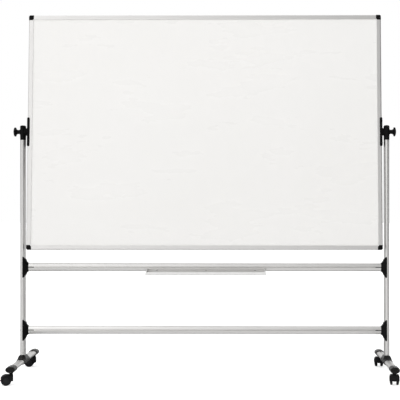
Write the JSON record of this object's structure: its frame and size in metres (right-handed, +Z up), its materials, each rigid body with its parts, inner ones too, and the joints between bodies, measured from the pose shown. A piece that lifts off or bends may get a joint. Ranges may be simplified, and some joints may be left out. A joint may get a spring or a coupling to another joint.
{
  "type": "rolling whiteboard",
  "caption": "Double-sided whiteboard in a slim aluminium frame, revolving between two uprights of a wheeled oval-tube stand with a pen tray.",
  "frame": {"origin": "on the floor midway between the two uprights, under the board's turning axis", "axes": "+X across the board to the right seen from the tray side, +Y to the back, +Z up"},
  "size_m": [1.9579, 0.6374, 1.8396],
  "materials": {
    "anodised_aluminium": "satin",
    "black_plastic": "satin",
    "grey_plastic": "satin",
    "light_plastic": "satin",
    "wheel_nylon": "satin",
    "writing_surface": "gloss",
    "honeycomb_card": "matte",
    "blackened_steel": "satin",
    "zinc_steel": "satin"
  },
  "bodies": {
    "stand": {"left_upright": "anodised_aluminium", "right_upright": "anodised_aluminium", "upper_rail": "anodised_aluminium", "lower_rail": "anodised_aluminium", "upper_left_connector": "black_plastic", "upper_right_connector": "black_plastic", "lower_left_connector": "black_plastic", "lower_right_connector": "black_plastic", "tube_inserts": "black_plastic", "frame_bolts": "zinc_steel", "left_foot_bar": "anodised_aluminium", "right_foot_bar": "anodised_aluminium", "foot_end_caps": "grey_plastic", "left_foot_saddle": "grey_plastic", "right_foot_saddle": "grey_plastic", "left_pivot_housing": "black_plastic", "right_pivot_housing": "black_plastic", "pivot_bushes": "black_plastic", "stand_screws": "zinc_steel", "pen_tray": "anodised_aluminium", "tray_end_caps": "light_plastic", "caster_sockets": "black_plastic"},
    "board": {"board_core": "honeycomb_card", "front_writing_sheet": "writing_surface", "back_writing_sheet": "writing_surface", "top_frame_rail": "anodised_aluminium", "bottom_frame_rail": "anodised_aluminium", "left_frame_rail": "anodised_aluminium", "right_frame_rail": "anodised_aluminium", "corner_caps": "black_plastic", "corner_keys": "grey_plastic", "left_pivot_bracket": "black_plastic", "right_pivot_bracket": "black_plastic", "left_pivot_hub": "blackened_steel", "right_pivot_hub": "blackened_steel", "bracket_screws": "blackened_steel"},
    "left_washer": {"left_clamp_washer": "blackened_steel"},
    "left_knob": {"left_clamp_knob": "black_plastic"},
    "right_washer": {"right_clamp_washer": "blackened_steel"},
    "right_knob": {"right_clamp_knob": "black_plastic"},
    "front_left_caster": {"front_left_caster_hood": "black_plastic", "front_left_caster_stem": "zinc_steel"},
    "front_left_wheels": {"front_left_caster_wheels": "wheel_nylon", "front_left_caster_axle": "zinc_steel"},
    "front_left_brake": {"front_left_caster_brake": "grey_plastic"},
    "front_right_caster": {"front_right_caster_hood": "black_plastic", "front_right_caster_stem": "zinc_steel"},
    "front_right_wheels": {"front_right_caster_wheels": "wheel_nylon", "front_right_caster_axle": "zinc_steel"},
    "front_right_brake": {"front_right_caster_brake": "grey_plastic"},
    "rear_left_caster": {"rear_left_caster_hood": "black_plastic", "rear_left_caster_stem": "zinc_steel"},
    "rear_left_wheels": {"rear_left_caster_wheels": "wheel_nylon", "rear_left_caster_axle": "zinc_steel"},
    "rear_left_brake": {"rear_left_caster_brake": "grey_plastic"},
    "rear_right_caster": {"rear_right_caster_hood": "black_plastic", "rear_right_caster_stem": "zinc_steel"},
    "rear_right_wheels": {"rear_right_caster_wheels": "wheel_nylon", "rear_right_caster_axle": "zinc_steel"},
    "rear_right_brake": {"rear_right_caster_brake": "grey_plastic"}
  },
  "joints": [
    {"name": "board_turn", "type": "hinge", "parent": "stand", "child": "board", "pos_m": [0, 0, 1.24], "axis": [1, 0, 0], "continuous": true},
    {"name": "left_clamp_travel", "type": "slide", "parent": "stand", "child": "left_washer", "axis": [-1, 0, 0], "range_m": [0, 0.003]},
    {"name": "left_knob_turn", "type": "hinge", "parent": "left_washer", "child": "left_knob", "pos_m": [-0.95, 0, 1.24], "axis": [-1, 0, 0], "range_deg": [0, 722]},
    {"name": "right_clamp_travel", "type": "slide", "parent": "stand", "child": "right_washer", "axis": [1, 0, 0], "range_m": [0, 0.003]},
    {"name": "right_knob_turn", "type": "hinge", "parent": "right_washer", "child": "right_knob", "pos_m": [0.95, 0, 1.24], "axis": [1, 0, 0], "range_deg": [0, 722]},
    {"name": "front_left_swivel", "type": "hinge", "parent": "stand", "child": "front_left_caster", "pos_m": [-0.925, -0.272, 0.055], "axis": [0, 0, 1], "continuous": true},
    {"name": "front_left_roll", "type": "hinge", "parent": "front_left_caster", "child": "front_left_wheels", "pos_m": [-0.94839, -0.2774, 0.025], "axis": [0.225, -0.9744, 0], "continuous": true},
    {"name": "front_left_brake_press", "type": "hinge", "parent": "front_left_caster", "child": "front_left_brake", "pos_m": [-0.96398, -0.281, 0.027], "axis": [0.225, -0.9744, 0], "range_deg": [0, 12]},
    {"name": "front_right_swivel", "type": "hinge", "parent": "stand", "child": "front_right_caster", "pos_m": [0.925, -0.272, 0.055], "axis": [0, 0, 1], "continuous": true},
    {"name": "front_right_roll", "type": "hinge", "parent": "front_right_caster", "child": "front_right_wheels", "pos_m": [0.92792, -0.24818, 0.025], "axis": [-0.9925, 0.1219, 0], "continuous": true},
    {"name": "front_right_brake_press", "type": "hinge", "parent": "front_right_caster", "child": "front_right_brake", "pos_m": [0.92988, -0.2323, 0.027], "axis": [-0.9925, 0.1219, 0], "range_deg": [0, 12]},
    {"name": "rear_left_swivel", "type": "hinge", "parent": "stand", "child": "rear_left_caster", "pos_m": [-0.925, 0.272, 0.055], "axis": [0, 0, 1], "continuous": true},
    {"name": "rear_left_roll", "type": "hinge", "parent": "rear_left_caster", "child": "rear_left_wheels", "pos_m": [-0.94894, 0.27033, 0.025], "axis": [0.0698, -0.9976, 0], "continuous": true},
    {"name": "rear_left_brake_press", "type": "hinge", "parent": "rear_left_caster", "child": "rear_left_brake", "pos_m": [-0.9649, 0.26921, 0.027], "axis": [0.0698, -0.9976, 0], "range_deg": [0, 12]},
    {"name": "rear_right_swivel", "type": "hinge", "parent": "stand", "child": "rear_right_caster", "pos_m": [0.925, 0.272, 0.055], "axis": [0, 0, 1], "continuous": true},
    {"name": "rear_right_roll", "type": "hinge", "parent": "rear_right_caster", "child": "rear_right_wheels", "pos_m": [0.92542, 0.296, 0.025], "axis": [-0.9998, 0.0175, 0], "continuous": true},
    {"name": "rear_right_brake_press", "type": "hinge", "parent": "rear_right_caster", "child": "rear_right_brake", "pos_m": [0.9257, 0.31199, 0.027], "axis": [-0.9998, 0.0175, 0], "range_deg": [0, 12]}
  ],
  "couplings": [
    {"joint": "left_knob_turn", "follows": "left_clamp_travel", "rad_per_m": 4188.8},
    {"joint": "right_knob_turn", "follows": "right_clamp_travel", "rad_per_m": 4188.8}
  ]
}
